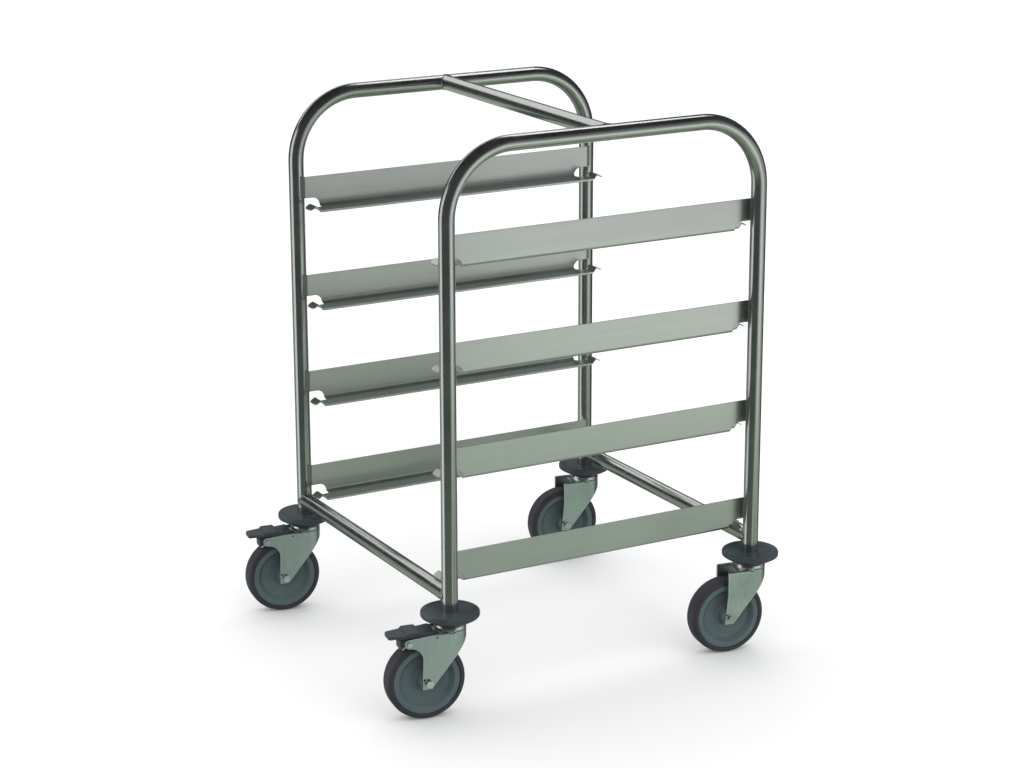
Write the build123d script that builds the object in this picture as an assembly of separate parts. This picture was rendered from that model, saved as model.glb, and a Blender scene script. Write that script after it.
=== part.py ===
"""Basket trolley: two bent tube hoops, eight runners with end stops and four swivel castors.

Axes: +X runs along the runners, away from the end with the brakes, +Y is the left side and +Z is up.
The origin is on the floor, midway between the four legs. All sizes are in millimetres.
"""
from build123d import *
from math import sqrt
import os

# Frame tubes
TUBE_R = 12.7
TUBE_WALL = 1.5
LEG_X = 280.0            # leg axis to the middle, along X
LEG_Y = 268.0            # leg axis to the middle, along Y
HOOP_TOP = 894.0         # height of the axis of the hoops' level top
HOOP_BEND_R = 110.0
LEG_BOTTOM = 157.5
BASE_TUBE_Z = 193.6
WELD_GAP = 0.05          # between a shaped tube end and the tube that it is welded to
FIT = 0.1                # play of parts that are pushed or turned into one another
BOLT_FIT = 0.05          # play around the axle bolt and the rivet
REACH = 100.0            # length of cutting shapes that pass right through

# Runners: an L of thin sheet, its web upright beside the legs and its flange turned inwards
SHEET = 1.5
TIER_COUNT = 4
LOWEST_TIER_Z = 207.0    # underside of the lowest flange
TIER_PITCH = 167.3
WEB_HEIGHT = 51.0
WEB_TO_LEG = 14.5        # outer face of the web to the leg axis
FLANGE_WIDTH = 42.0
HEM_DEPTH = 9.0          # the flange's inner edge is folded back under by this much
HEM_DROP = 2.4           # and hangs this far below the flange's underside
HEM_R = 1.15             # rounding of the hem's two lower edges
RUNNER_BEND_R = 4.0      # inside radius of the bend between web and flange
TAB_HEIGHT = 36.0        # what is left of the web where it meets the leg
TAB_BEND_X = 8.0         # the tab leaves the web's plane this far inside the leg axis
TAB_BEND_R = 3.0
TAB_END_X = 2.0          # and ends on the leg's surface this far inside the axis
NOTCH_END_X = 34.0       # the notch under the tab reaches this far inside the leg axis
NOTCH_R = 13.0           # its corner, seen from the side
NOTCH_PLAN_R = 8.0       # its corner, seen from above
HEM_END_X = -18.5        # the hem's end, the stop's foot, crest and lip, along X from the leg axis
STOP_FOOT_X = -16.5
STOP_CREST_X = -10.0
STOP_LIP_X = 0.5
STOP_CREST_RISE = 7.5
STOP_LIP_RISE = 1.5
STOP_BEND_R = 1.6
STOP_CORNER_R = 5.0
STOP_WIDTH = 26.0        # the stop stands on a tongue at the flange's inner edge

# Castors, drawn with the swivel axis on Z and the wheel trailing towards -X
CASTOR_YAW = -9.0        # turn of every castor about its swivel axis
TRAIL = 43.5
WHEEL_R = 63.5
TYRE_WIDTH = 31.0
TYRE_SHOULDER_R = 7.0
CORE_R = 54.5
RECESS_R = 45.0
RIM_WIDTH = 29.0
WHEEL_WEB = 7.0
HUB_R = 13.0
HUB_WIDTH = 42.0
AXLE_R = 4.0
SLEEVE_R = 6.0
RUNNING_GAP = 0.08
HEX_FLATS = 11.0
HEX_HEIGHT = 4.5
WASHER_R = 6.6
WASHER_THICKNESS = 1.2
CORE_WEB_FALL = 3.0      # how far the wheel's web rises from the hub to the rim's recess
CORE_EDGE = 1.0          # small bevels on the wheel's rim

# Fork: pressed plate, U-shaped from above, with a round back about the swivel axis
FORK_HALF = 25.0
FORK_PLATE = 3.0
FORK_TOP = 143.0
CROWN_SUNK = 4.0         # the crown plate lies this far below the cheeks' top edges
CROWN_FRONT = 27.0       # and ends this far ahead of the swivel axis
CHEEK_FOOT = 54.0
CHEEK_FRONT = 10.0       # front edge of the cheek ahead of the axle
CHEEK_BACK = 5.0         # back corner of the cheek's foot behind the axle
CHEEK_CORNER_Z = 134.5   # where the slanting back edge would meet the upright one
CHEEK_CORNER_R = 40.0
CHEEK_THROAT_Z = 104.0   # above this the front edge stands upright, or curves into the ear
CHEEK_THROAT_BACK = 1.5  # the throat lies this far behind the foot's front with a brake
CHEEK_SETBACK = 5.0      # and the whole upper front edge this far without one
CHEEK_LEVEL = 22.0       # a braked cheek's top slopes down to the ear ahead of this
FORK_EDGE_R = 2.2
BACK_SPARE = 2.0         # drawn shapes stand this far outside the fork that they cut
SWIVEL_BOSS_R = 21.0
SWIVEL_HOLE_R = 6.3
AXLE_NOTCH = 4.0         # square hole beside the axle
AXLE_NOTCH_AHEAD = 7.0
AXLE_NOTCH_RISE = 6.0
SIGHT_HOLE_R = 1.8       # hole in a braked cheek
SIGHT_HOLE_X = -29.5
SIGHT_HOLE_DROP = 6.0    # below the fork's top
CROWN_SLOT_X = -7.0      # slot beside the race
CROWN_SLOT_LENGTH = 9.0
CROWN_SLOT_HEIGHT = 1.8
CROWN_SLOT_DROP = 2.0

# Swivel head and stem, fixed to the leg
KINGPIN_R = 6.2
KINGPIN_HEAD_R = 10.0
KINGPIN_HEAD_GAP = 0.4
KINGPIN_HEAD_HEIGHT = 6.6
KINGPIN_HEAD_BEVEL = 3.0
PLUG_BEVEL = 3.0
RACE_R = 25.2
RACE_TOP = 154.0
RACE_SKIRT = 143.8
RACE_FLOOR = 148.6
RACE_SHOULDER = 2.0      # height of the race's upright side
RACE_DOME_R = 10.0
RACE_RIM = 2.0           # thickness of the race's skirt
BALL_R = 2.5
BALL_CIRCLE_R = 17.0
BALL_COUNT = 14
STEM_FLANGE_R = 19.0
STEM_TOP = 200.0
BUMPER_R = 46.5
BUMPER_TOP = 171.0       # top of the rim
BUMPER_DISH = 1.2        # the middle lies this far below the rim
BUMPER_RIM = 5.5         # width of the rim
BUMPER_FLANK = 162.5     # lower end of the disc's upright side
BUMPER_EDGE_R = 3.0
BUMPER_SEAT = 157.0      # underside of the collar, on the stem's flange
BUMPER_COLLAR_R = 27.0
BUMPER_COLLAR_FLARE = 12.0
BUMPER_COLLAR_RISE = 1.0

# Brake, on the castors at the operator's end
PIVOT_AHEAD = 30.5       # pedal pivot ahead of the axle
PIVOT_Z = 131.5
PIVOT_R = 3.0
EAR_R = 7.0
RIVET_HEAD = 1.2         # rivet head, wider than the rivet by this
RIVET_HEAD_HEIGHT = 1.5
PEDAL_TOP = 144.0
PEDAL_PLATE = 5.0
PEDAL_STEP = 3.5         # raised grip across the pedal
PEDAL_STEP_FRONT = -1.0  # its level top, along X from the pivot
PEDAL_STEP_BACK = 19.0
PEDAL_STEP_SLOPE = 4.0
PEDAL_TIP_AHEAD = 60.0
PEDAL_HEEL_AHEAD = -12.0
PEDAL_HEEL_RISE = 2.0    # the pedal rises this much from the grip to its heel
PEDAL_HALF = 19.0
PEDAL_TIP_HALF = 13.0
PEDAL_CORNER = 3.0       # cut corners of the tip, seen from above
PEDAL_TIP_CURL = 1.0     # the tip's underside hangs this far below the plate's
PEDAL_NOSE_HALF = 11.0
NOSE_FRONT = -20.0       # the nose under the pedal, along X from the pivot
NOSE_NECK = -11.0
NOSE_FOOT = -7.0
NOSE_FOOT_BACK = 3.0
NOSE_BACK = 8.0
NOSE_TOP_BACK = 14.0
NOSE_BUMP_HIGH = 3.0     # the nose's front has a blunt bump between these heights about the pivot
NOSE_BUMP_LOW = -4.0
SHOE_GAP = 3.0           # shoe to tyre with the brake off
SHOE_PLATE = 2.5
SHOE_LENGTH = 12.0
SHOE_MIDDLE = -1.5       # along X from the pivot

CORNERS = {
    "rear_right": (-LEG_X, -LEG_Y),
    "rear_left": (-LEG_X, LEG_Y),
    "front_right": (LEG_X, -LEG_Y),
    "front_left": (LEG_X, LEG_Y),
}
BRAKED = ("rear_right", "rear_left")


def save(name, shape):
    """Write one sub-part to its own STEP file."""
    export_step(shape, os.path.join("parts", name + ".step"))


def drawn_side(points, half_width):
    """Solid with a side view given as (x, height) points, reaching as far to either side."""
    outline = make_face(Polyline(*[(x, 0, z) for x, z in points], close=True))
    return extrude(outline, half_width, both=True, dir=(0, 1, 0))


def turned(points):
    """Solid of revolution about Z from (radius, height) points."""
    outline = Polyline(*[(radius, 0, height) for radius, height in points], close=True)
    return revolve(make_face(outline), Axis.Z, 360)


def folded(points, bend_r, thickness):
    """Section of a folded sheet, drawn flat, with the sheet on the left of the line through the points."""
    path = FilletPolyline(*points, radius=bend_r)
    return make_face(offset(path, amount=thickness, side=Side.LEFT))


# ---------------------------------------------------------------- frame tubes

def tube_between(start, end):
    """Straight hollow tube from one point to another."""
    line = Line(start, end)
    plane = Plane(origin=start, z_dir=line % 0)
    outer = extrude(plane * Circle(TUBE_R), line.length)
    return outer - extrude(plane * Circle(TUBE_R - TUBE_WALL), line.length)


def hoop_path(side_y):
    """Axis of an upside-down U: up one leg, across the top and down the other leg."""
    return FilletPolyline(
        (-LEG_X, side_y, LEG_BOTTOM),
        (-LEG_X, side_y, HOOP_TOP),
        (LEG_X, side_y, HOOP_TOP),
        (LEG_X, side_y, LEG_BOTTOM),
        radius=HOOP_BEND_R,
    )


def make_hoop(side_y):
    path = hoop_path(side_y)
    foot = Plane(origin=(-LEG_X, side_y, LEG_BOTTOM), z_dir=(0, 0, 1))
    return sweep(foot * (Circle(TUBE_R) - Circle(TUBE_R - TUBE_WALL)), path=path)


def make_cross_tube(x, z, against):
    """Tube along Y whose ends are shaped to the tubes on both sides."""
    tube = tube_between((x, -LEG_Y, z), (x, LEG_Y, z))
    for direction in (-1, 1):
        centre = (x, direction * LEG_Y, z)
        plane = Plane(origin=centre, z_dir=against)
        tube -= extrude(plane * Circle(TUBE_R + WELD_GAP), 2 * TUBE_R, both=True)
    return max(tube.solids(), key=lambda solid: solid.volume)


# -------------------------------------------------------------------- runners

def make_runner(tier_z):
    """Runner of the right side: its web faces out to -Y and its flange points in to +Y."""
    web_y = -LEG_Y + WEB_TO_LEG
    section = folded([(0, WEB_HEIGHT), (0, 0), (FLANGE_WIDTH, 0)], RUNNER_BEND_R + SHEET, SHEET)
    across_runner = Plane(origin=(0, web_y, tier_z), x_dir=(0, 1, 0), z_dir=(1, 0, 0))
    runner = extrude(across_runner * section, LEG_X + STOP_FOOT_X, both=True)
    hem = Pos(FLANGE_WIDTH - HEM_DEPTH / 2, -HEM_DROP / 2) * Rectangle(HEM_DEPTH, HEM_DROP)
    hem = fillet(hem.vertices().group_by(Axis.Y)[0], HEM_R)
    runner += extrude(across_runner * hem, LEG_X + HEM_END_X, both=True)

    # At each end a rounded notch in the bend leaves the tab above and the stop's tongue in front
    notch_height = WEB_HEIGHT - TAB_HEIGHT
    notch_depth = FLANGE_WIDTH - STOP_WIDTH
    notch_side = fillet(Rectangle(2 * NOTCH_END_X, 2 * notch_height).vertices(), NOTCH_R)
    notch_plan = fillet(Rectangle(2 * NOTCH_END_X, 2 * notch_depth).vertices(), NOTCH_PLAN_R)
    notch = extrude(Plane.XZ * notch_side, notch_depth, both=True)
    notch &= extrude(notch_plan, notch_height, both=True)
    for direction in (-1, 1):
        runner -= Pos(direction * LEG_X, web_y, tier_z) * notch

    for end in (make_tab(tier_z + WEB_HEIGHT), make_stop(tier_z)):
        runner += end
        runner += mirror(end, about=Plane.YZ)
    return runner


def make_tab(web_top):
    """The +X end of the web, straight as far as the bend and then out to the leg."""
    web_y = -LEG_Y + WEB_TO_LEG
    leg_face_y = -LEG_Y + sqrt(TUBE_R ** 2 - TAB_END_X ** 2) + 2 * WELD_GAP
    bend_x = LEG_X - TAB_BEND_X
    root_x = LEG_X + STOP_FOOT_X - TAB_BEND_R
    points = [(root_x, web_y), (bend_x, web_y), (LEG_X - TAB_END_X, leg_face_y)]
    strip = folded(points, TAB_BEND_R, SHEET)
    return Pos(0, 0, web_top - TAB_HEIGHT) * extrude(strip, TAB_HEIGHT)


def make_stop(tier_z):
    """The +X end of the flange, bent up to a crest and down again to a lip."""
    points = [
        (STOP_FOOT_X - STOP_BEND_R, 0),
        (STOP_FOOT_X, 0),
        (STOP_CREST_X, STOP_CREST_RISE),
        (STOP_LIP_X, STOP_LIP_RISE),
    ]
    flange_edge_y = -LEG_Y + WEB_TO_LEG + FLANGE_WIDTH
    along_runner = Plane(origin=(LEG_X, flange_edge_y, tier_z), x_dir=(1, 0, 0), z_dir=(0, -1, 0))
    stop = extrude(along_runner * folded(points, STOP_BEND_R, SHEET), STOP_WIDTH)
    plan = fillet(Rectangle(2 * (LEG_X + STOP_LIP_X), STOP_WIDTH).vertices(), STOP_CORNER_R)
    plan = Pos(0, flange_edge_y - STOP_WIDTH / 2, tier_z - SHEET) * plan
    return stop & extrude(plan, STOP_CREST_RISE + 4 * SHEET)


# ----------------------------------------------------- swivel head and bumper

def make_bumper():
    """Soft disc around the foot of the leg, with a collar that tapers in below it."""
    bore = TUBE_R + FIT
    middle = BUMPER_TOP - BUMPER_DISH
    rim_r = BUMPER_R - BUMPER_RIM
    flare_r = BUMPER_COLLAR_R + BUMPER_COLLAR_FLARE
    solid = turned([
        (bore, BUMPER_SEAT), (bore, middle), (rim_r - BUMPER_RIM, middle), (rim_r, BUMPER_TOP),
        (BUMPER_R, BUMPER_TOP), (BUMPER_R, BUMPER_FLANK), (flare_r, BUMPER_SEAT + BUMPER_COLLAR_RISE),
        (BUMPER_COLLAR_R, BUMPER_SEAT),
    ])
    rings = [edge for edge in solid.edges() if edge.geom_type == GeomType.CIRCLE]
    return fillet([ring for ring in rings if ring.radius > BUMPER_R - FIT], BUMPER_EDGE_R)


def make_stem():
    """Plug inside the leg, flange, kingpin and kingpin head, turned as one piece."""
    plug_r = TUBE_R - TUBE_WALL - FIT
    head_top = FORK_TOP - CROWN_SUNK - FORK_PLATE - KINGPIN_HEAD_GAP
    head_foot = head_top - KINGPIN_HEAD_HEIGHT
    return turned([
        (0, STEM_TOP), (plug_r - PLUG_BEVEL, STEM_TOP), (plug_r, STEM_TOP - PLUG_BEVEL),
        (plug_r, BUMPER_SEAT),
        (STEM_FLANGE_R, BUMPER_SEAT), (STEM_FLANGE_R, RACE_TOP),
        (KINGPIN_R, RACE_TOP), (KINGPIN_R, head_top),
        (KINGPIN_HEAD_R, head_top), (KINGPIN_HEAD_R, head_foot + KINGPIN_HEAD_BEVEL),
        (KINGPIN_HEAD_R - KINGPIN_HEAD_BEVEL, head_foot), (0, head_foot),
    ])


def make_race():
    """Upper race: a domed cup that covers the balls."""
    bore = KINGPIN_R + FIT
    shoulder = Vector(RACE_R, RACE_SKIRT + RACE_SHOULDER)
    crown = Vector(STEM_FLANGE_R - FIT, RACE_TOP)
    outline = [
        Line((bore, RACE_FLOOR), (bore, RACE_TOP)),
        Line((bore, RACE_TOP), crown),
        RadiusArc(crown, shoulder, RACE_DOME_R),
        Line(shoulder, (RACE_R, RACE_SKIRT)),
        Polyline(
            (RACE_R, RACE_SKIRT), (RACE_R - RACE_RIM, RACE_SKIRT), (RACE_R - RACE_RIM, RACE_FLOOR),
            (bore, RACE_FLOOR),
        ),
    ]
    return revolve(Plane.XZ * make_face(outline), Axis.Z, 360)


def make_balls():
    """Ring of balls that runs between the fork's crown and the upper race."""
    centre_z = FORK_TOP + BALL_R + FIT
    return Compound(children=[
        location * Sphere(BALL_R)
        for location in Pos(0, 0, centre_z) * PolarLocations(BALL_CIRCLE_R, BALL_COUNT)
    ])


# ----------------------------------------------------------------------- fork

def plan_u(half_width, front):
    """Plan of the fork: straight sides forwards to -X and a round back about the swivel axis."""
    sides = Pos(-front / 2, 0) * Rectangle(front, 2 * half_width)
    return sides + Circle(half_width)


def cheek_profile(braked):
    """Side view of the fork; forwards is towards -X."""
    foot_front = -(TRAIL + CHEEK_FRONT)
    foot_back = -(TRAIL - CHEEK_BACK)
    back = FORK_HALF + BACK_SPARE
    top = FORK_TOP + BACK_SPARE
    slant = [(foot_back, CHEEK_FOOT), (back, CHEEK_CORNER_Z), (back, CHEEK_CORNER_Z + CHEEK_CORNER_R)]
    with BuildSketch() as profile:
        with BuildLine():
            if braked:
                pivot_x = -(TRAIL + PIVOT_AHEAD)
                ear_top = (pivot_x, PIVOT_Z + EAR_R)
                ear_low = (pivot_x, PIVOT_Z - EAR_R)
                throat = (foot_front + CHEEK_THROAT_BACK, CHEEK_THROAT_Z)
                front = [(foot_front, CHEEK_FOOT), throat]
                TangentArc(ear_low, throat, tangent=(1, 0))
                RadiusArc(ear_top, ear_low, -EAR_R)
                upper = [ear_top, (-CHEEK_LEVEL, FORK_TOP), (-CHEEK_LEVEL, top)]
            else:
                upright = foot_front + CHEEK_SETBACK
                front = [(foot_front, CHEEK_FOOT), (upright, CHEEK_THROAT_Z)]
                upper = [(upright, CHEEK_THROAT_Z), (upright, top)]
            Polyline(*front)
            Line((foot_front, CHEEK_FOOT), slant[0])
            curve = FilletPolyline(*slant, radius=CHEEK_CORNER_R)
            Polyline(*upper)
            over = top + CHEEK_CORNER_R
            Polyline(curve @ 1, (back, over), (upper[-1][0], over), upper[-1])
        make_face()
    return profile.sketch


def make_fork(braked):
    front = TRAIL + PIVOT_AHEAD + EAR_R + BACK_SPARE
    depth = FORK_TOP - CHEEK_FOOT + BACK_SPARE
    half = FORK_HALF - FORK_PLATE
    shell = Pos(0, 0, FORK_TOP - depth) * extrude(plan_u(FORK_HALF, front), depth)
    top_edges = shell.faces().sort_by(Axis.Z)[-1].edges()
    shell = fillet([edge for edge in top_edges if edge.center().X > -front + BACK_SPARE / 2], FORK_EDGE_R)
    crown_floor = FORK_TOP - CROWN_SUNK - FORK_PLATE
    shell -= Pos(0, 0, crown_floor - depth) * extrude(plan_u(half, front + REACH), depth)
    side = extrude(Plane.XZ * cheek_profile(braked), REACH, both=True)
    fork = shell & side

    # The crown plate is sunk between the cheeks around the lower race's boss and ends behind the front
    sunk = Pos(-front / 2, 0) * Rectangle(front, 2 * half) - Circle(SWIVEL_BOSS_R)
    fork -= Pos(0, 0, FORK_TOP - CROWN_SUNK) * extrude(sunk, REACH)
    open_front = Pos(-CROWN_FRONT - front / 2, 0) * Rectangle(front, 2 * half)
    fork -= Pos(0, 0, crown_floor) * extrude(open_front, REACH, both=True)

    fork -= Pos(0, 0, FORK_TOP) * Cylinder(SWIVEL_HOLE_R, 4 * (CROWN_SUNK + FORK_PLATE))
    fork -= across(-TRAIL, WHEEL_R, Cylinder(AXLE_R + BOLT_FIT, REACH))
    notch_at = Pos(-TRAIL - AXLE_NOTCH_AHEAD, 0, WHEEL_R + AXLE_NOTCH_RISE)
    fork -= notch_at * Box(AXLE_NOTCH, REACH, AXLE_NOTCH)
    slot_at = Pos(CROWN_SLOT_X, 0, FORK_TOP - CROWN_SLOT_DROP)
    fork -= slot_at * Box(CROWN_SLOT_LENGTH, REACH, CROWN_SLOT_HEIGHT)
    if braked:
        fork -= across(-TRAIL - PIVOT_AHEAD, PIVOT_Z, Cylinder(PIVOT_R + BOLT_FIT, REACH))
        fork -= across(SIGHT_HOLE_X, FORK_TOP - SIGHT_HOLE_DROP, Cylinder(SIGHT_HOLE_R, REACH))
    return max(fork.solids(), key=lambda solid: solid.volume)


# ------------------------------------------------------------ wheel and axle

def across(x, z, shape):
    """Place a shape drawn along Z so that it lies across the castor at (x, z)."""
    return Pos(x, 0, z) * Rot(90, 0, 0) * shape


def make_axle():
    """Bolt with its head on one side, a nut on the other and a washer under each."""
    shank = FORK_HALF + WASHER_THICKNESS
    hexagon = RegularPolygon(HEX_FLATS / 2, 6, major_radius=False)
    bore = Circle(AXLE_R + BOLT_FIT)
    tail = shank + HEX_HEIGHT
    bolt = Pos(0, 0, -tail) * extrude(Circle(AXLE_R), shank + tail)
    bolt += Pos(0, 0, shank) * extrude(hexagon, HEX_HEIGHT)
    nut = Pos(0, 0, -tail) * extrude(hexagon - bore, HEX_HEIGHT)
    washers = [
        Pos(0, 0, low) * extrude(Circle(WASHER_R) - bore, WASHER_THICKNESS) for low in (FORK_HALF, -shank)
    ]
    return across(-TRAIL, WHEEL_R, Compound(children=[bolt, nut] + washers))


def make_sleeve():
    ring = Circle(SLEEVE_R) - Circle(AXLE_R + BOLT_FIT)
    return across(-TRAIL, WHEEL_R, extrude(ring, FORK_HALF - FORK_PLATE - FIT, both=True))


def make_core():
    """Wheel centre: hub, dished web and a raised rim ring."""
    bore = SLEEVE_R + RUNNING_GAP
    hub = HUB_WIDTH / 2
    web = WHEEL_WEB / 2
    rim = RIM_WIDTH / 2
    upper = [
        (bore, hub), (HUB_R - CORE_EDGE, hub), (HUB_R, hub - CORE_EDGE),
        (HUB_R + 2 * CORE_EDGE, web + 2 * CORE_EDGE), (HUB_R + 2 * CORE_WEB_FALL, web),
        (RECESS_R - 2 * CORE_WEB_FALL, web + CORE_WEB_FALL), (RECESS_R, rim - CORE_EDGE),
        (RECESS_R + CORE_EDGE, rim), (CORE_R - CORE_EDGE, rim), (CORE_R, rim - CORE_EDGE),
    ]
    lower = [(radius, -height) for radius, height in reversed(upper)]
    return across(-TRAIL, WHEEL_R, turned(upper + lower))


def make_tyre():
    section = Pos((CORE_R + WHEEL_R) / 2, 0) * Rectangle(WHEEL_R - CORE_R, TYRE_WIDTH)
    section = fillet(section.vertices().group_by(Axis.X)[-1], TYRE_SHOULDER_R)
    section = chamfer(section.vertices().group_by(Axis.X)[0], CORE_EDGE)
    return across(-TRAIL, WHEEL_R, revolve(Plane.XZ * section, Axis.Z, 360))


# ---------------------------------------------------------------------- brake

def make_pedal():
    """Moulded pedal: a flared plate with a raised grip, and a nose that leads down to the tyre."""
    pivot_x = -(TRAIL + PIVOT_AHEAD)
    tip_x = -(TRAIL + PEDAL_TIP_AHEAD)
    heel_x = -(TRAIL + PEDAL_HEEL_AHEAD)
    floor_z = PEDAL_TOP - PEDAL_PLATE
    grip_z = PEDAL_TOP + PEDAL_STEP
    grip_front = pivot_x + PEDAL_STEP_FRONT
    grip_back = pivot_x + PEDAL_STEP_BACK
    plate = drawn_side([
        (heel_x, floor_z), (heel_x, PEDAL_TOP + PEDAL_HEEL_RISE), (grip_back + PEDAL_STEP_SLOPE, PEDAL_TOP),
        (grip_back, grip_z), (grip_front, grip_z), (grip_front - PEDAL_STEP_SLOPE, PEDAL_TOP),
        (tip_x, PEDAL_TOP), (tip_x, floor_z - PEDAL_TIP_CURL), (tip_x - NOSE_FRONT / 2, floor_z),
    ], PEDAL_HALF)
    flare = Polyline(
        (heel_x, -PEDAL_HALF), (grip_front, -PEDAL_HALF), (tip_x + PEDAL_CORNER, -PEDAL_TIP_HALF),
        (tip_x, -PEDAL_TIP_HALF + PEDAL_CORNER), (tip_x, PEDAL_TIP_HALF - PEDAL_CORNER),
        (tip_x + PEDAL_CORNER, PEDAL_TIP_HALF), (grip_front, PEDAL_HALF), (heel_x, PEDAL_HALF), close=True,
    )
    plate &= extrude(make_face(flare), 2 * PEDAL_TOP)
    nose = drawn_side([
        (pivot_x + NOSE_TOP_BACK, floor_z + FIT), (pivot_x + NOSE_FRONT, floor_z + FIT),
        (pivot_x + NOSE_NECK, PIVOT_Z + NOSE_BUMP_HIGH), (pivot_x + NOSE_NECK, PIVOT_Z + NOSE_BUMP_LOW),
        (pivot_x + NOSE_FOOT, WHEEL_R), (pivot_x + NOSE_FOOT_BACK, WHEEL_R), (pivot_x + NOSE_BACK, PIVOT_Z),
    ], PEDAL_NOSE_HALF)
    boss_half = FORK_HALF - FORK_PLATE - RUNNING_GAP
    pedal = plate + nose + across(pivot_x, PIVOT_Z, Cylinder(EAR_R - CORE_EDGE, 2 * boss_half))
    pedal -= across(-TRAIL, WHEEL_R, Cylinder(WHEEL_R + SHOE_GAP + SHOE_PLATE, REACH))
    return pedal - across(pivot_x, PIVOT_Z, Cylinder(PIVOT_R + RUNNING_GAP, REACH))


def make_shoe():
    """Steel shoe under the pedal's nose, curved with the tyre."""
    pivot_x = -(TRAIL + PIVOT_AHEAD)
    ring = Circle(WHEEL_R + SHOE_GAP + SHOE_PLATE) - Circle(WHEEL_R + SHOE_GAP)
    ring = across(-TRAIL, WHEEL_R, extrude(ring, PEDAL_NOSE_HALF + CORE_EDGE, both=True))
    window = Pos(pivot_x + SHOE_MIDDLE, 0, PIVOT_Z) * Box(SHOE_LENGTH, REACH, PIVOT_Z - WHEEL_R)
    return (ring & window).solids()[0]


def make_pivot():
    """Rivet through the ears and the pedal."""
    rivet = extrude(Circle(PIVOT_R), FORK_HALF, both=True)
    head = extrude(Circle(PIVOT_R + RIVET_HEAD), RIVET_HEAD_HEIGHT)
    rivet += Pos(0, 0, FORK_HALF) * head
    rivet += Pos(0, 0, -FORK_HALF - RIVET_HEAD_HEIGHT) * head
    return across(-(TRAIL + PIVOT_AHEAD), PIVOT_Z, rivet)


# -------------------------------------------------------------------- writing

os.makedirs("parts", exist_ok=True)

left_hoop = make_hoop(LEG_Y)
right_hoop = make_hoop(-LEG_Y)
save("left_hoop_tube", left_hoop)
save("right_hoop_tube", right_hoop)
save("top_cross_tube", make_cross_tube(0, HOOP_TOP, (1, 0, 0)))
save("rear_cross_tube", make_cross_tube(-LEG_X, BASE_TUBE_Z, (0, 0, 1)))
save("front_cross_tube", make_cross_tube(LEG_X, BASE_TUBE_Z, (0, 0, 1)))

for number in range(1, TIER_COUNT + 1):
    runner = make_runner(LOWEST_TIER_Z + (TIER_COUNT - number) * TIER_PITCH)
    save("right_runner_%d" % number, runner)
    save("left_runner_%d" % number, mirror(runner, about=Plane.XZ))

for corner, (x, y) in CORNERS.items():
    place = Pos(x, y, 0) * Rot(0, 0, CASTOR_YAW)
    braked = corner in BRAKED
    pieces = {
        "bumper": make_bumper(),
        "stem": make_stem(),
        "upper_race": make_race(),
        "swivel_balls": make_balls(),
        "fork": make_fork(braked),
        "axle_bolt": make_axle(),
        "axle_sleeve": make_sleeve(),
        "wheel_core": make_core(),
        "tyre": make_tyre(),
    }
    if braked:
        pieces["brake_pedal"] = make_pedal()
        pieces["brake_shoe"] = make_shoe()
        pieces["brake_pivot"] = make_pivot()
    for piece, shape in pieces.items():
        save(corner + "_" + piece, place * shape)
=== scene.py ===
"""Looks for the basket trolley: ground steel frame, zinc-plated forks, grey wheels and rubber bumpers.

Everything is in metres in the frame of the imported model: +X runs along the runners, +Y is the left side,
+Z is up and the floor is at zero.
"""
import math
import random

import bpy
from mathutils import Matrix, Vector


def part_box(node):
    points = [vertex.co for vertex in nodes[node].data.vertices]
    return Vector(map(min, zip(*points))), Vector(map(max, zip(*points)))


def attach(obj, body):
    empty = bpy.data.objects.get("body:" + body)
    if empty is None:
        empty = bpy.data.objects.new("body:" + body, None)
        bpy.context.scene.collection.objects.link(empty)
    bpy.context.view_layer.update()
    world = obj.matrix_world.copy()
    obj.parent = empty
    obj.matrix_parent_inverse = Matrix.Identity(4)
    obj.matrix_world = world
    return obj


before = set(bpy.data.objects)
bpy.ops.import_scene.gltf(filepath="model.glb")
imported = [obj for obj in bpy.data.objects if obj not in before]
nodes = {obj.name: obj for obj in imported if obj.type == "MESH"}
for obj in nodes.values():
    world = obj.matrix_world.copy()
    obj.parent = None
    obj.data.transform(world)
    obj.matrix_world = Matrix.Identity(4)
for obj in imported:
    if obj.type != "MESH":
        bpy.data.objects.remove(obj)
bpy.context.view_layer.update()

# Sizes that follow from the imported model
cross_low, cross_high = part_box("top_cross_tube")
TUBE_R = (cross_high.x - cross_low.x) / 2
hoop_low, hoop_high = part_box("left_hoop_tube")
LEG_X = hoop_high.x - TUBE_R
LEG_Y = hoop_high.y - TUBE_R
HOOP_TOP = hoop_high.z - TUBE_R
base_low, base_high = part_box("rear_cross_tube")
BASE_TUBE_Z = (base_low.z + base_high.z) / 2

# Sizes of the frame that the boxes don't give
HOOP_BEND_R = 0.110
TAB_HEIGHT = 0.036
TAB_END_X = 0.002

RANDOM = random.Random(7)


# -------------------------------------------------------------- camera and studio

CAMERA_AZIMUTH = -29.09
CAMERA_ELEVATION = 16.13
CAMERA_ROLL = -0.13
CAMERA_PLACE = (-2.0007, -3.5600, 1.6085)
CAMERA_LENS = 89.98


def direction(azimuth, elevation):
    """Unit vector from the object towards a viewer there; azimuth 0 is a viewer on the -Y side."""
    a = math.radians(azimuth)
    e = math.radians(elevation)
    return Vector((math.sin(a) * math.cos(e), -math.cos(a) * math.cos(e), math.sin(e)))


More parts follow.
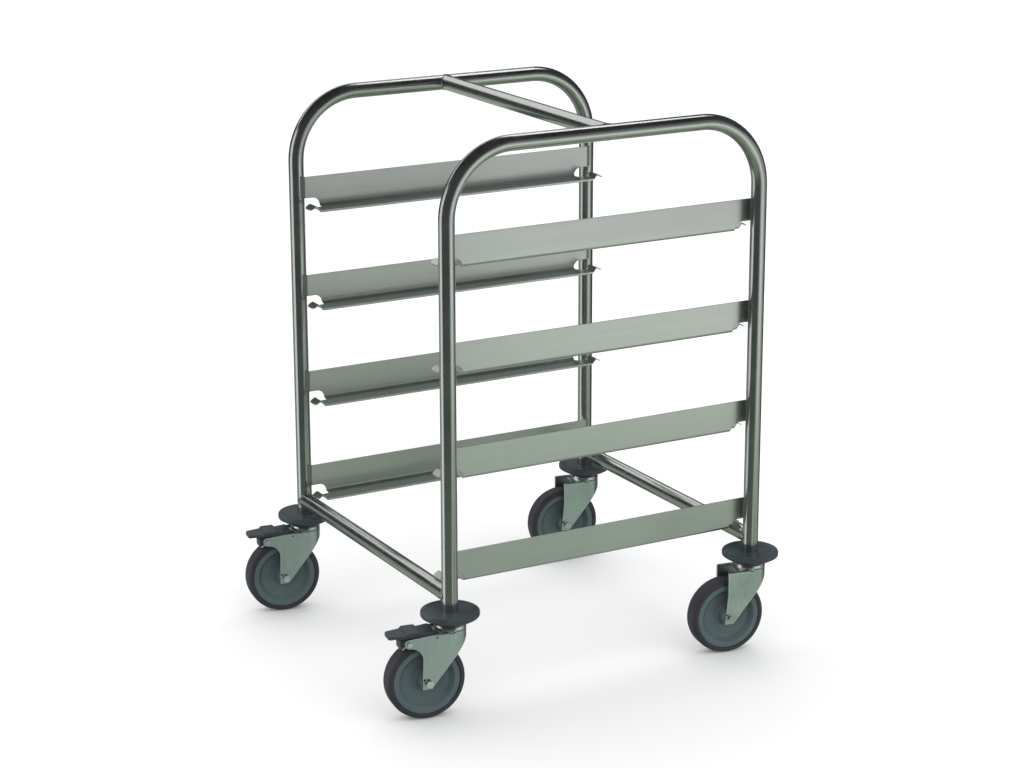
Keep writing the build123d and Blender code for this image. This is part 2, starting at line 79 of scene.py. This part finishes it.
# Sky colours from straight down (0) to straight up (1): what lights matt surfaces, and what steel mirrors
DOME_STOPS = [
    (0.0, (0.24, 0.24, 0.26)),
    (0.44, (0.30, 0.30, 0.32)),
    (0.54, (0.98, 1.0, 0.99)),
    (1.0, (1.0, 1.0, 1.0)),
]
DOME_STRENGTH = 1.04
ROOM_STOPS = [
    (0.0, (0.25, 0.29, 0.24)),
    (0.27, (0.22, 0.26, 0.21)),
    (0.36, (0.055, 0.062, 0.062)),
    (0.50, (0.044, 0.044, 0.052)),
    (0.70, (0.028, 0.028, 0.036)),
    (0.85, (0.010, 0.010, 0.013)),
    (1.0, (0.004, 0.004, 0.005)),
]

# Name, azimuth, elevation, distance, centre, size, radiance and colour of each panel light
PANELS = [
    ("left_strip", -110, 0, 3.0, (0, 0, 0.45), (1.9, 3.4), 0.88, (1.0, 0.98, 1.0)),
    ("back_top", 185, 33, 8.0, (0, 0, 0.5), (11.0, 2.1), 1.0, (1.0, 0.98, 0.99)),
    ("right_top", 122, 56, 2.6, (0, 0, 0.9), (1.5, 0.75), 1.9, (1.0, 0.98, 1.0)),
    ("back_low", 180, 0, 3.0, (0, 0, -0.72), (6.0, 1.75), 0.24, (0.93, 1.0, 0.92)),
    ("back_fill", 132, 0, 2.4, (0, 0, -0.28), (1.0, 1.25), 0.55, (0.98, 1.0, 0.98)),
    ("fill_left", 10, 0, 1.9, (0, 0, 0.35), (0.55, 1.3), 0.36, (0.93, 1.0, 0.95)),
    ("fill_left_low", 3, 0, 1.9, (0, 0, -0.60), (0.55, 0.6), 0.46, (0.90, 1.0, 0.95)),
    ("fill_right", 60, 0, 1.9, (0, 0, 0.05), (0.85, 1.9), 0.30, (0.93, 1.0, 0.95)),
]

# The fill at the front right fades upwards and downwards: edges, radiance and colour of each strip
FILL_AZIMUTH = 32
FILL_DISTANCE = 1.9
FILL_WIDTH = 1.08
FILL_STRIPS = [
    (1.00, 1.70, 0.11, (0.95, 1.0, 0.98)),
    (0.50, 1.00, 0.36, (0.97, 1.0, 0.98)),
    (0.12, 0.50, 0.84, (1.0, 0.95, 1.0)),
    (-0.12, 0.12, 0.66, (0.87, 1.0, 0.82)),
    (-0.32, -0.12, 0.32, (0.88, 1.0, 0.84)),
    (-0.60, -0.32, 0.17, (0.86, 1.0, 0.82)),
    (-1.40, -0.60, 0.30, (0.88, 1.0, 0.85)),
]

FLOOR_R = 14.0
FLOOR_SIDES = 96


def make_camera():
    data = bpy.data.cameras.new("camera")
    data.lens = CAMERA_LENS
    data.sensor_width = 36.0
    data.clip_end = 100.0
    camera = bpy.data.objects.new("camera", data)
    back = direction(CAMERA_AZIMUTH, CAMERA_ELEVATION)
    turn = (-back).to_track_quat("-Z", "Y").to_matrix().to_4x4()
    roll = Matrix.Rotation(math.radians(CAMERA_ROLL), 4, "Z")
    camera.matrix_world = Matrix.Translation(CAMERA_PLACE) @ turn @ roll
    bpy.context.scene.collection.objects.link(camera)
    bpy.context.scene.camera = camera


def make_panel(name, azimuth, elevation, distance, centre, size, radiance, colour):
    """Soft panel light that faces the given centre; radiance is what a mirror would show."""
    data = bpy.data.lights.new(name, "AREA")
    data.shape = "RECTANGLE"
    data.size, data.size_y = size
    data.energy = radiance * math.pi * size[0] * size[1]
    data.color = colour
    light = bpy.data.objects.new(name, data)
    back = direction(azimuth, elevation)
    place = Vector(centre) + back * distance
    turn = (-back).to_track_quat("-Z", "Y").to_matrix().to_4x4()
    light.matrix_world = Matrix.Translation(place) @ turn
    light.visible_camera = False
    bpy.context.scene.collection.objects.link(light)


def sky(tree, stops):
    """Background whose colour goes from straight down (0) to straight up (1)."""
    sphere = tree.nodes.new("ShaderNodeTexCoord")
    split = tree.nodes.new("ShaderNodeSeparateXYZ")
    tree.links.new(sphere.outputs["Generated"], split.inputs[0])
    height = tree.nodes.new("ShaderNodeMath")
    height.operation = "MULTIPLY_ADD"
    height.inputs[1].default_value = 0.5
    height.inputs[2].default_value = 0.5
    tree.links.new(split.outputs["Z"], height.inputs[0])
    ramp = tree.nodes.new("ShaderNodeValToRGB")
    for index, (place, colour) in enumerate(stops):
        stop = ramp.color_ramp.elements[index] if index < 2 else ramp.color_ramp.elements.new(place)
        stop.position = place
        stop.color = (*colour, 1.0)
    tree.links.new(height.outputs[0], ramp.inputs[0])
    background = tree.nodes.new("ShaderNodeBackground")
    tree.links.new(ramp.outputs["Color"], background.inputs["Color"])
    return background


def make_world():
    """White to the camera, a soft white dome for matt surfaces and a dim studio in reflections."""
    world = bpy.data.worlds.new("studio")
    bpy.context.scene.world = world
    world.use_nodes = True
    tree = world.node_tree
    tree.nodes.clear()
    path = tree.nodes.new("ShaderNodeLightPath")
    white = tree.nodes.new("ShaderNodeBackground")
    white.inputs["Color"].default_value = (1.0, 1.0, 1.0, 1.0)
    dome = sky(tree, DOME_STOPS)
    dome.inputs["Strength"].default_value = DOME_STRENGTH
    room = sky(tree, ROOM_STOPS)
    by_gloss = tree.nodes.new("ShaderNodeMixShader")
    tree.links.new(path.outputs["Is Glossy Ray"], by_gloss.inputs[0])
    tree.links.new(dome.outputs[0], by_gloss.inputs[1])
    tree.links.new(room.outputs[0], by_gloss.inputs[2])
    by_camera = tree.nodes.new("ShaderNodeMixShader")
    tree.links.new(path.outputs["Is Camera Ray"], by_camera.inputs[0])
    tree.links.new(by_gloss.outputs[0], by_camera.inputs[1])
    tree.links.new(white.outputs[0], by_camera.inputs[2])
    out = tree.nodes.new("ShaderNodeOutputWorld")
    tree.links.new(by_camera.outputs[0], out.inputs["Surface"])


def make_floor():
    """Pale round floor that takes soft shadows and stays out of the steel's reflections."""
    turns = [2 * math.pi * i / FLOOR_SIDES for i in range(FLOOR_SIDES)]
    rim = [(FLOOR_R * math.cos(turn), FLOOR_R * math.sin(turn), 0.0) for turn in turns]
    mesh = bpy.data.meshes.new("floor")
    mesh.from_pydata(rim, [], [list(range(FLOOR_SIDES))])
    floor = bpy.data.objects.new("floor", mesh)
    bpy.context.scene.collection.objects.link(floor)
    material = bpy.data.materials.new("floor")
    material.use_nodes = True
    shader = material.node_tree.nodes["Principled BSDF"]
    shader.inputs["Base Color"].default_value = (0.97, 0.97, 0.97, 1.0)
    shader.inputs["Roughness"].default_value = 0.9
    shader.inputs["Specular IOR Level"].default_value = 0.1
    mesh.materials.append(material)
    floor.visible_glossy = False
    floor.visible_diffuse = False
    floor.visible_shadow = False


make_camera()
make_world()
make_floor()
bpy.context.scene.view_settings.view_transform = "Standard"
for panel in PANELS:
    make_panel(*panel)
for number, (low, high, radiance, colour) in enumerate(FILL_STRIPS):
    centre = (0, 0, (low + high) / 2)
    size = (FILL_WIDTH, high - low)
    make_panel("fill_%d" % number, FILL_AZIMUTH, 0, FILL_DISTANCE, centre, size, radiance, colour)


# ---------------------------------------------------------------------- materials

class Finish:
    """A material with one Principled shader, and short ways to add nodes to it."""

    def __init__(self, name, metallic, roughness):
        self.material = bpy.data.materials.new(name)
        self.material.use_nodes = True
        self.tree = self.material.node_tree
        self.shader = self.tree.nodes["Principled BSDF"]
        self.shader.inputs["Metallic"].default_value = metallic
        self.shader.inputs["Roughness"].default_value = roughness
        self.place = self.node("ShaderNodeTexCoord").outputs["Object"]

    def node(self, kind, **settings):
        made = self.tree.nodes.new(kind)
        for key, value in settings.items():
            setattr(made, key, value)
        return made

    def plug(self, value, socket):
        """Give a socket a constant or the output of another node."""
        if isinstance(value, bpy.types.NodeSocket):
            self.tree.links.new(value, socket)
        else:
            socket.default_value = value

    def math(self, operation, first, second=0.0):
        made = self.node("ShaderNodeMath", operation=operation)
        for value, socket in zip((first, second), made.inputs):
            self.plug(value, socket)
        return made.outputs[0]

    def stretched(self, scales):
        """The object's own coordinates, scaled along each axis."""
        made = self.node("ShaderNodeMapping", vector_type="POINT")
        self.plug(self.place, made.inputs["Vector"])
        made.inputs["Scale"].default_value = scales
        return made.outputs[0]

    def noise(self, vector, scale, detail=2.0, roughness=0.5):
        made = self.node("ShaderNodeTexNoise")
        self.plug(vector, made.inputs["Vector"])
        made.inputs["Scale"].default_value = scale
        made.inputs["Detail"].default_value = detail
        made.inputs["Roughness"].default_value = roughness
        return made.outputs["Fac"]

    def span(self, value, low, high, to_low=0.0, to_high=1.0):
        """Map a range to another, clamped."""
        made = self.node("ShaderNodeMapRange", clamp=True)
        for item, socket in zip((value, low, high, to_low, to_high), made.inputs):
            self.plug(item, socket)
        return made.outputs[0]

    def mix(self, factor, first, second):
        """Mix two colours."""
        made = self.node("ShaderNodeMix", data_type="RGBA")
        self.plug(factor, made.inputs[0])
        for value, socket in ((first, made.inputs[6]), (second, made.inputs[7])):
            self.plug((*value, 1.0) if isinstance(value, tuple) else value, socket)
        return made.outputs[2]

    def edge(self, radius):
        """Two outputs: 1 on edges and 0 on flat faces, and the normal rounded over the edges."""
        soft = self.node("ShaderNodeBevel", samples=6)
        soft.inputs["Radius"].default_value = radius
        plain = self.node("ShaderNodeNewGeometry")
        dot = self.node("ShaderNodeVectorMath", operation="DOT_PRODUCT")
        self.plug(soft.outputs[0], dot.inputs[0])
        self.plug(plain.outputs["Normal"], dot.inputs[1])
        return self.span(dot.outputs["Value"], 0.995, 0.85), soft.outputs[0]

    def finish(self, colour, roughness, height=None, distance=0.0001, strength=1.0, normal=None):
        self.plug(colour, self.shader.inputs["Base Color"])
        self.plug(roughness, self.shader.inputs["Roughness"])
        if height is not None:
            bump = self.node("ShaderNodeBump")
            bump.inputs["Strength"].default_value = strength
            bump.inputs["Distance"].default_value = distance
            self.plug(height, bump.inputs["Height"])
            if normal is not None:
                self.plug(normal, bump.inputs["Normal"])
            self.plug(bump.outputs[0], self.shader.inputs["Normal"])
        elif normal is not None:
            self.plug(normal, self.shader.inputs["Normal"])
        return self.material


def hoop_length(finish):
    """Length along a hoop's axis at each point, from the start of a bend."""
    split = finish.node("ShaderNodeSeparateXYZ")
    finish.plug(finish.place, split.inputs[0])
    beside = finish.math("ABSOLUTE", split.outputs["X"])
    beside = finish.math("SUBTRACT", beside, LEG_X - HOOP_BEND_R)
    above = finish.math("SUBTRACT", split.outputs["Z"], HOOP_TOP - HOOP_BEND_R)
    leg = finish.math("MINIMUM", above, 0.0)
    top = finish.math("MAXIMUM", finish.math("MULTIPLY", beside, -1.0), 0.0)
    angle = finish.math("ARCTAN2", finish.math("MAXIMUM", above, 0.0), finish.math("MAXIMUM", beside, 0.0))
    bend = finish.math("MULTIPLY", angle, HOOP_BEND_R)
    return finish.math("ADD", finish.math("ADD", leg, bend), top)


def cross_length(finish):
    """Length along a cross tube."""
    split = finish.node("ShaderNodeSeparateXYZ")
    finish.plug(finish.place, split.inputs[0])
    return split.outputs["Y"]


def tube_steel(name, length_of):
    """Ground and polished stainless tube: fine marks run round the tube."""
    finish = Finish(name, 1.0, 0.2)
    length = length_of(finish)
    rings = finish.node("ShaderNodeCombineXYZ")
    finish.plug(finish.math("MULTIPLY", length, 60.0), rings.inputs["X"])
    split = finish.node("ShaderNodeSeparateXYZ")
    finish.plug(finish.place, split.inputs[0])
    finish.plug(split.outputs["X"], rings.inputs["Y"])
    finish.plug(split.outputs["Y"], rings.inputs["Z"])
    grain = finish.noise(rings.outputs[0], 22.0, 3.0, 0.65)
    bands = finish.noise(rings.outputs[0], 1.3, 2.0, 0.5)
    clouds = finish.noise(finish.place, 9.0, 3.0, 0.55)
    colour = finish.mix(clouds, (0.525, 0.560, 0.520), (0.610, 0.630, 0.600))
    colour = finish.mix(finish.span(grain, 0.35, 0.75, 0.0, 0.25), colour, (0.38, 0.41, 0.38))
    cloudy = finish.span(clouds, 0.3, 0.7, 0.14, 0.20)
    rough = finish.math("ADD", cloudy, finish.span(bands, 0.3, 0.7, 0.0, 0.045))
    return finish.finish(colour, rough, grain, 0.00002, 0.35)


def sheet_steel(name, light, dark):
    """Satin sheet, brushed along the runner."""
    finish = Finish(name, 1.0, 0.28)
    fine = finish.noise(finish.stretched((5.0, 420.0, 420.0)), 3.0, 4.0, 0.7)
    coarse = finish.noise(finish.stretched((1.5, 60.0, 60.0)), 2.0, 2.0, 0.5)
    clouds = finish.noise(finish.place, 6.5, 3.0, 0.6)
    edge_mask, soft = finish.edge(0.0007)
    colour = finish.mix(clouds, dark, light)
    colour = finish.mix(finish.span(fine, 0.35, 0.75, 0.0, 0.22), colour, tuple(0.72 * c for c in dark))
    colour = finish.mix(finish.math("MULTIPLY", edge_mask, 0.5), colour, (0.80, 0.82, 0.79))
    cloudy = finish.span(clouds, 0.3, 0.7, 0.25, 0.31)
    rough = finish.math("ADD", cloudy, finish.span(coarse, 0.3, 0.7, 0.0, 0.04))
    return finish.finish(colour, rough, fine, 0.00003, 0.4, soft)


def zinc_steel(name):
    """Zinc-plated pressings: a satin metal with a faint mottle, drawing streaks, and pale edges that are
    partly rubbed wear and partly a painted highlight.
    """
    finish = Finish(name, 1.0, 0.3)
    spangle = finish.noise(finish.place, 160.0, 3.0, 0.6)
    streaks = finish.noise(finish.stretched((1.0, 1.0, 0.12)), 230.0, 3.0, 0.6)
    clouds = finish.noise(finish.place, 26.0, 3.0, 0.6)
    edge_mask, soft = finish.edge(0.0016)
    colour = finish.mix(finish.span(clouds, 0.3, 0.7), (0.51, 0.62, 0.60), (0.64, 0.74, 0.71))
    colour = finish.mix(finish.span(spangle, 0.4, 0.7, 0.0, 0.25), colour, (0.80, 0.87, 0.85))
    colour = finish.mix(finish.span(streaks, 0.45, 0.75, 0.0, 0.35), colour, (0.44, 0.54, 0.52))
    # Edges mixed towards near-white: partly rubbed zinc, partly a painted highlight along the rims
    colour = finish.mix(finish.math("MULTIPLY", edge_mask, 0.9), colour, (0.93, 0.95, 0.94))
    # Edges lose their metal so they read pale under the white dome, part of the painted edge highlight
    finish.plug(finish.span(edge_mask, 0.0, 0.7, 1.0, 0.15), finish.shader.inputs["Metallic"])
    cloudy = finish.span(clouds, 0.3, 0.7, 0.24, 0.34)
    rough = finish.math("ADD", cloudy, finish.math("MULTIPLY", spangle, 0.05))
    return finish.finish(colour, rough, spangle, 0.00003, 0.35, soft)


def bright_steel(name):
    """Pressed and turned castor parts with a bright plating."""
    finish = Finish(name, 1.0, 0.18)
    clouds = finish.noise(finish.place, 60.0, 3.0, 0.6)
    edge_mask, soft = finish.edge(0.0004)
    colour = finish.mix(clouds, (0.66, 0.68, 0.68), (0.80, 0.81, 0.82))
    colour = finish.mix(finish.math("MULTIPLY", edge_mask, 0.5), colour, (0.9, 0.9, 0.9))
    rough = finish.span(clouds, 0.3, 0.7, 0.13, 0.27)
    return finish.finish(colour, rough, clouds, 0.00004, 0.2, soft)


def moulded(name, light, dark, worn_and_highlight_to, rough_low, rough_high, grain_scale, grain_depth, edge_radius):
    """Moulded plastic or rubber: fine grain, a soft bloom, and pale edges that are partly scuffed wear and
    partly a painted highlight.
    """
    finish = Finish(name, 0.0, 0.5)
    grain = finish.noise(finish.place, grain_scale, 3.0, 0.6)
    clouds = finish.noise(finish.place, 28.0, 4.0, 0.6)
    scuffs = finish.noise(finish.stretched((1.0, 1.0, 3.0)), 120.0, 5.0, 0.7)
    edge_mask, soft = finish.edge(edge_radius)
    colour = finish.mix(finish.span(clouds, 0.3, 0.7), dark, light)
    # Pale edge colour: scuffed wear, and also a painted highlight on rims and the wheel's ring edges
    rubbed_and_highlit = finish.math("MULTIPLY", edge_mask, finish.span(scuffs, 0.42, 0.6, 0.15, 0.8))
    colour = finish.mix(rubbed_and_highlit, colour, worn_and_highlight_to)
    rough = finish.span(clouds, 0.3, 0.7, rough_low, rough_high)
    return finish.finish(colour, rough, grain, grain_depth, 0.5, soft)


STEEL_LIGHT = (0.66, 0.70, 0.66)
STEEL_DARK = (0.58, 0.62, 0.58)
FINISHES = {
    "hoop": tube_steel("tube_steel_hoop", hoop_length),
    "cross": tube_steel("tube_steel_cross", cross_length),
    "sheet": sheet_steel("sheet_steel", STEEL_LIGHT, STEEL_DARK),
    "zinc": zinc_steel("zinc_steel"),
    "bright": bright_steel("bright_zinc"),
    "bumper": moulded(
        "bumper_rubber", light=(0.060, 0.082, 0.092), dark=(0.038, 0.050, 0.058), worn_and_highlight_to=(0.12, 0.15, 0.16),
        rough_low=0.34, rough_high=0.46, grain_scale=900.0, grain_depth=0.00005, edge_radius=0.0014,
    ),
    "wheel": moulded(
        "wheel_plastic", light=(0.112, 0.158, 0.164), dark=(0.088, 0.124, 0.131), worn_and_highlight_to=(0.22, 0.28, 0.29),
        rough_low=0.34, rough_high=0.44, grain_scale=1100.0, grain_depth=0.00003, edge_radius=0.0012,
    ),
    "tyre": moulded(
        "tyre_rubber", light=(0.050, 0.049, 0.062), dark=(0.032, 0.031, 0.041), worn_and_highlight_to=(0.10, 0.10, 0.11),
        rough_low=0.46, rough_high=0.60, grain_scale=700.0, grain_depth=0.00006, edge_radius=0.0010,
    ),
    "pedal": moulded(
        "pedal_plastic", light=(0.058, 0.074, 0.080), dark=(0.040, 0.050, 0.056), worn_and_highlight_to=(0.16, 0.19, 0.19),
        rough_low=0.34, rough_high=0.46, grain_scale=800.0, grain_depth=0.00005, edge_radius=0.0012,
    ),
}
LOOK_OF_NODE = {
    "hoop_tube": "hoop",
    "cross_tube": "cross",
    "runner": "sheet",
    "bumper": "bumper",
    "stem": "bright",
    "upper_race": "bright",
    "swivel_balls": "bright",
    "fork": "zinc",
    "axle_bolt": "bright",
    "axle_sleeve": "bright",
    "wheel_core": "wheel",
    "tyre": "tyre",
    "brake_pedal": "pedal",
    "brake_shoe": "zinc",
    "brake_pivot": "bright",
}
for name, node in nodes.items():
    look = next(look for part, look in LOOK_OF_NODE.items() if part in name)
    for slot in node.material_slots:
        slot.material = FINISHES[look]


# --------------------------------------------------------------------- weld beads

def weld_finish(name):
    """Brushed-off weld: bright metal with a faint straw tint."""
    finish = Finish(name, 1.0, 0.3)
    clouds = finish.noise(finish.place, 180.0, 4.0, 0.7)
    colour = finish.mix(finish.span(clouds, 0.35, 0.65), (0.58, 0.57, 0.50), (0.78, 0.79, 0.76))
    return finish.finish(colour, finish.span(clouds, 0.3, 0.7, 0.26, 0.42), clouds, 0.0001, 0.35)


WELD = weld_finish("weld_steel")
BEAD_SIDES = 10
BEAD_STEPS = 120
BASE_BEAD_R = 0.0015
TOP_BEAD_R = 0.0010
BEAD_LIFT = 0.0002           # a bead at a tube's end lies this far off both tubes
TAB_BEAD_R = 0.0012
TAB_BEAD_STEPS = 44
TAB_BEAD_MARGIN = 0.002      # left free at each end of a runner's tab
TAB_BEAD_LIFT = 0.0001       # off the leg, towards the middle of the trolley
RIPPLE_PITCH = 0.0017
RIPPLE_HEIGHT = 0.10         # as a part of the bead's radius
RIPPLE_JITTER = 0.03


def bead_mesh(name, path, closed, radius):
    """Weld bead along a list of points: a round ridge with ripples that thins out at open ends."""
    count = len(path)
    points = [Vector(p) for p in path]
    verts = []
    phase = RANDOM.uniform(0, 6.28)
    run = 0.0
    for i, point in enumerate(points):
        before = points[i - 1] if i or closed else points[0]
        after = points[(i + 1) % count] if i + 1 < count or closed else points[-1]
        run += (point - before).length if i else 0.0
        tangent = (after - before).normalized()
        if i == 0:
            side = tangent.orthogonal().normalized()
        else:
            side = (side - tangent * side.dot(tangent)).normalized()
        lift = tangent.cross(side)
        wave = RIPPLE_HEIGHT * math.sin(run / RIPPLE_PITCH * 2 * math.pi + phase)
        ripple = 1.0 + wave + RANDOM.uniform(-RIPPLE_JITTER, RIPPLE_JITTER)
        if not closed:
            ripple *= math.sin(math.pi * min(1.0, max(0.08, 4 * min(i, count - 1 - i) / count) ** 0.5) / 2)
        for k in range(BEAD_SIDES):
            angle = 2 * math.pi * k / BEAD_SIDES
            verts.append(point + (side * math.cos(angle) + lift * math.sin(angle)) * radius * ripple)
    faces = []
    last = count if closed else count - 1
    for i in range(last):
        j = (i + 1) % count
        for k in range(BEAD_SIDES):
            m = (k + 1) % BEAD_SIDES
            here = i * BEAD_SIDES
            there = j * BEAD_SIDES
            faces.append((here + k, here + m, there + m, there + k))
    if not closed:
        faces.append(tuple(reversed(range(BEAD_SIDES))))
        faces.append(tuple((count - 1) * BEAD_SIDES + k for k in range(BEAD_SIDES)))
    mesh = bpy.data.meshes.new(name)
    mesh.from_pydata(verts, [], faces)
    mesh.materials.append(WELD)
    for face in mesh.polygons:
        face.use_smooth = True
    bead = bpy.data.objects.new(name, mesh)
    bpy.context.scene.collection.objects.link(bead)
    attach(bead, "frame")


def end_path(centre_x, side, centre_z, on_leg):
    """Closed path round the end of a cross tube, on an upright leg or on a hoop's level top."""
    path = []
    for i in range(BEAD_STEPS):
        angle = 2 * math.pi * i / BEAD_STEPS
        along = (TUBE_R + BEAD_LIFT) * math.cos(angle)
        up = (TUBE_R + BEAD_LIFT) * math.sin(angle)
        reach = abs(up if on_leg else along) + BEAD_LIFT
        path.append((centre_x + along, side * (LEG_Y - reach), centre_z + up))
    return path


def tab_path(end, side, top):
    """Upright path where a runner's tab meets the leg."""
    inset = TAB_END_X + TAB_BEAD_R
    x = end * (LEG_X - TAB_END_X - TAB_BEAD_R)
    y = side * (LEG_Y - math.sqrt(TUBE_R ** 2 - inset ** 2) - TAB_BEAD_LIFT)
    foot = top - TAB_HEIGHT + TAB_BEAD_MARGIN
    length = TAB_HEIGHT - 2 * TAB_BEAD_MARGIN
    return [(x, y, foot + length * i / (TAB_BEAD_STEPS - 1)) for i in range(TAB_BEAD_STEPS)]


for side, word in ((1, "left"), (-1, "right")):
    bead_mesh("weld_top_" + word, end_path(0.0, side, HOOP_TOP, False), True, TOP_BEAD_R)
    for end, end_word in ((-1, "rear"), (1, "front")):
        base_path = end_path(end * LEG_X, side, BASE_TUBE_Z, True)
        bead_mesh("weld_base_%s_%s" % (end_word, word), base_path, True, BASE_BEAD_R)
        for number in range(1, 5):
            runner_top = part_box("%s_runner_%d" % (word, number))[1].z
            tab_name = "weld_tab_%s_%s_%d" % (end_word, word, number)
            bead_mesh(tab_name, tab_path(end, side, runner_top), False, TAB_BEAD_R)
